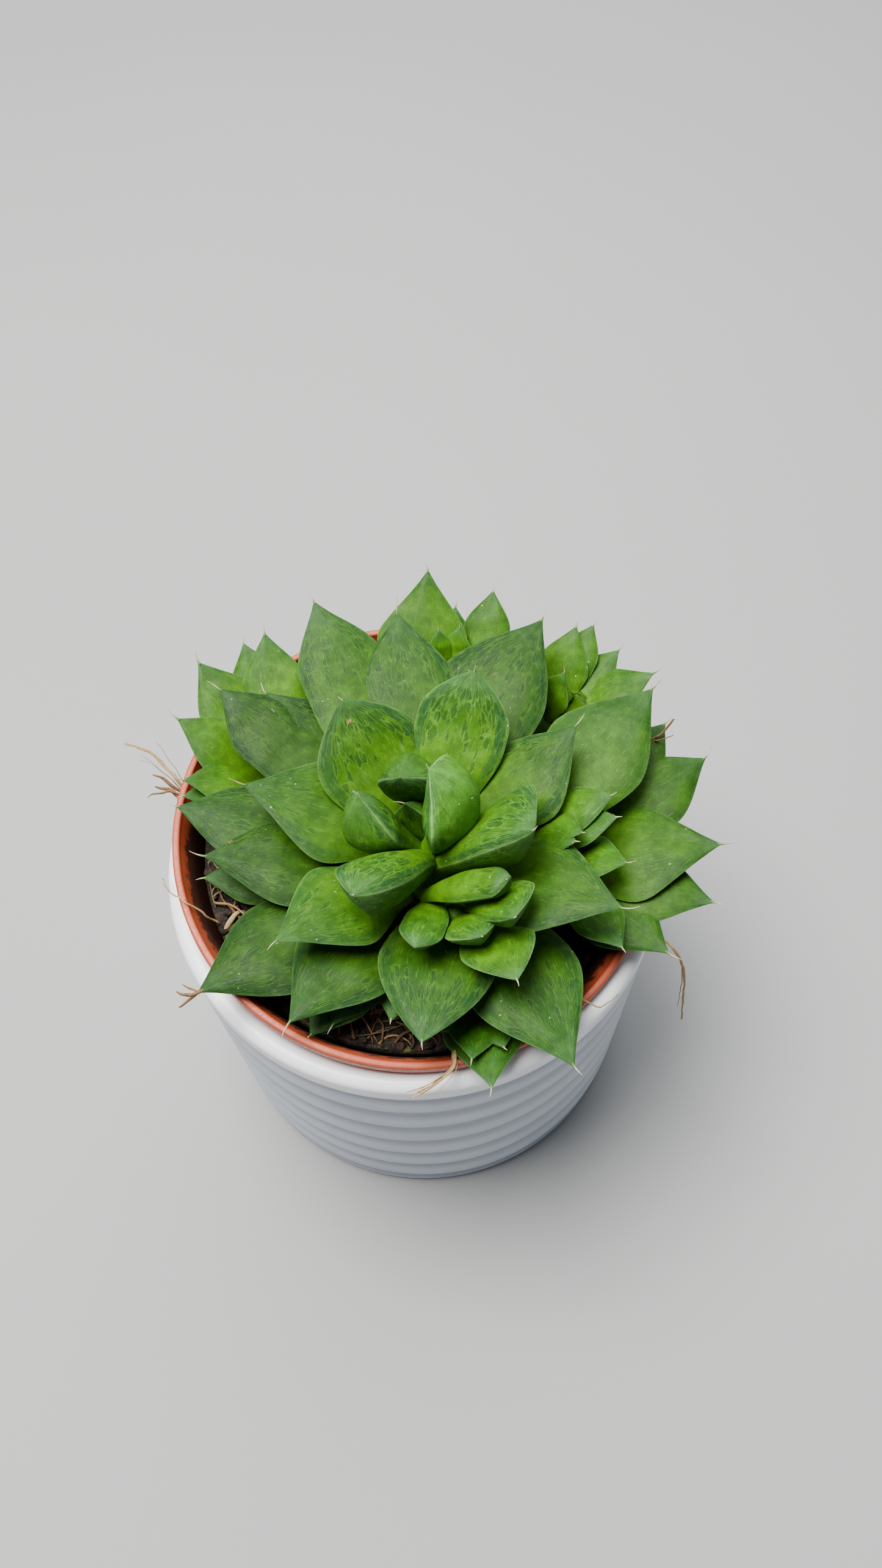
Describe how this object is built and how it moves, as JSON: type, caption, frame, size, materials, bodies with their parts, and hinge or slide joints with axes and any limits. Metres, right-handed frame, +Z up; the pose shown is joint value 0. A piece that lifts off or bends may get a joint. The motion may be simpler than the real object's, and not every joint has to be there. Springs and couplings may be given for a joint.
{
  "type": "potted succulent",
  "caption": "Clump of pointed fleshy-leaved rosettes in a nursery pot that leans inside a ribbed white cover pot.",
  "frame": {"origin": "centre of the cover pot's flat underside, on the surface it stands on", "axes": "+Z up, +X to the right and +Y away from the front"},
  "size_m": [0.1286, 0.1179, 0.132],
  "materials": {
    "glaze": "white glazed ceramic",
    "terracotta_plastic": "thin moulded plastic, satin",
    "soil": "dark peat with brown fibres",
    "leaf": "fleshy green skin with darker translucent streaks near the tips",
    "dry_strand": "dry straw"
  },
  "bodies": {
    "root": {"cover_pot": "glaze", "nursery_pot": "terracotta_plastic", "soil": "soil", "rosette_main": "leaf", "rosette_front": "leaf", "rosette_right": "leaf", "rosette_left": "leaf", "rosette_back": "leaf", "rosette_back_right": "leaf", "rosette_front_low": "leaf", "dry_stalk_left": "dry_strand", "dry_straw_front": "dry_strand", "dry_root_right": "dry_strand"}
  },
  "joints": []
}
